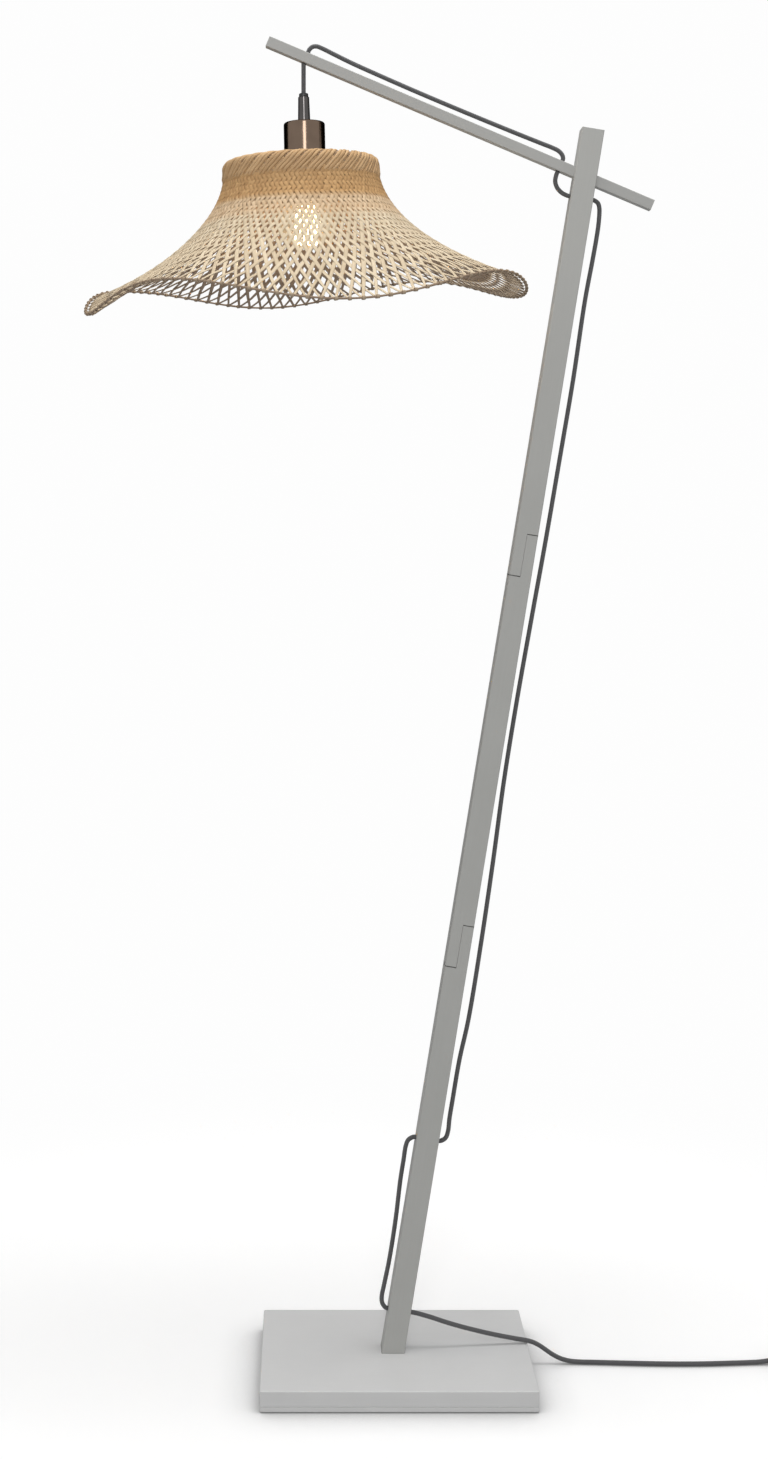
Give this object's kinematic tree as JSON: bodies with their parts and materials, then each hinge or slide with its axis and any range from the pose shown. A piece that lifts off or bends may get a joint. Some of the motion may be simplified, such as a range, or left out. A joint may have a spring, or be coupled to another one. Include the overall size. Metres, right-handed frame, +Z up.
{
  "type": "floor lamp",
  "caption": "Floor lamp with a leaning square post on a slab base, a thin slanting boom and a wavy bell-shaped woven shade that hangs from a fabric cord.",
  "frame": {"origin": "centre of the base's underside", "axes": "+Z up, +X to the side that the post leans to and the base's long side, -Y to the front; the boom slopes down from -X to +X"},
  "size_m": [0.9513, 0.4971, 1.498],
  "materials": {
    "painted_wood": "grey eggshell paint over wood",
    "weight_plate": "grey powder coat",
    "felt_pad": "dark felt",
    "painted_screw": "screw heads painted over in grey",
    "steel": "zinc-plated",
    "dark_chrome": "dark polished chrome",
    "bronze": "dark brushed bronze",
    "black_plastic": "satin black",
    "gloss_black": "gloss black",
    "brass": "plain brass",
    "bare_aluminium": "bare rolled aluminium",
    "bulb_glass": "clear warm glass",
    "bulb_glow": "warm glowing filaments on a glass stem",
    "woven_bamboo": "natural split bamboo, matt",
    "turned_wood": "bare turned wood",
    "cord_cloth": "dark grey woven cable cover"
  },
  "bodies": {
    "stand": {"base_pad": "felt_pad", "base_weight": "weight_plate", "base_slab": "painted_wood", "base_screw_1": "steel", "base_screw_2": "steel", "base_screw_3": "steel", "base_screw_4": "steel", "foot_screw_1": "steel", "foot_screw_2": "steel", "post_lower": "painted_wood", "post_middle": "painted_wood", "post_upper": "painted_wood", "lower_splice_screw_1": "painted_screw", "lower_splice_screw_2": "painted_screw", "upper_splice_screw_1": "painted_screw", "upper_splice_screw_2": "painted_screw", "boom_screw": "painted_screw", "boom": "painted_wood", "lamp_cord": "cord_cloth", "floor_cord": "cord_cloth", "switch_lead": "cord_cloth", "switch_floor": "black_plastic", "switch_cover": "black_plastic", "switch_screw_1": "steel", "switch_screw_2": "steel", "cord_coil": "cord_cloth", "plug_lead": "cord_cloth", "plug_boot": "black_plastic", "plug_body": "black_plastic", "plug_pin_1": "brass", "plug_pin_2": "brass"},
    "upper_drop": {"drop_cord_upper": "cord_cloth"},
    "lower_drop": {"drop_cord_lower": "cord_cloth"},
    "pendant": {"grip_neck": "black_plastic", "cord_grip": "dark_chrome", "grip_nipple": "steel", "lampholder_cup": "bronze", "nipple_nut": "steel", "lampholder_body": "black_plastic", "socket_shell": "brass", "centre_contact": "brass", "shade_ring": "black_plastic", "bulb_cap": "bare_aluminium", "bulb_tip": "black_plastic", "bulb_glass": "bulb_glass", "bulb_stem": "bulb_glow", "woven_shade": "woven_bamboo", "brim_hoop": "woven_bamboo", "centre_ring": "turned_wood"},
    "rocker": {"switch_rocker": "gloss_black"}
  },
  "joints": [
    {"name": "pendant_side_swing", "type": "hinge", "parent": "stand", "child": "upper_drop", "pos_m": [-0.10306, 0, 1.46884], "axis": [0, 1, 0], "range_deg": [-6, 15]},
    {"name": "pendant_fore_aft_swing", "type": "hinge", "parent": "upper_drop", "child": "lower_drop", "pos_m": [-0.10306, 0, 1.4506], "axis": [1, 0, 0], "range_deg": [-15, 15]},
    {"name": "pendant_twist", "type": "hinge", "parent": "lower_drop", "child": "pendant", "pos_m": [-0.10306, 0, 1.43474], "axis": [0, 0, 1], "range_deg": [-90, 90]},
    {"name": "switch_rock", "type": "hinge", "parent": "stand", "child": "rocker", "pos_m": [0.471, 0.0122, 0.0124], "axis": [0, 1, 0], "range_deg": [-14, 0]}
  ]
}
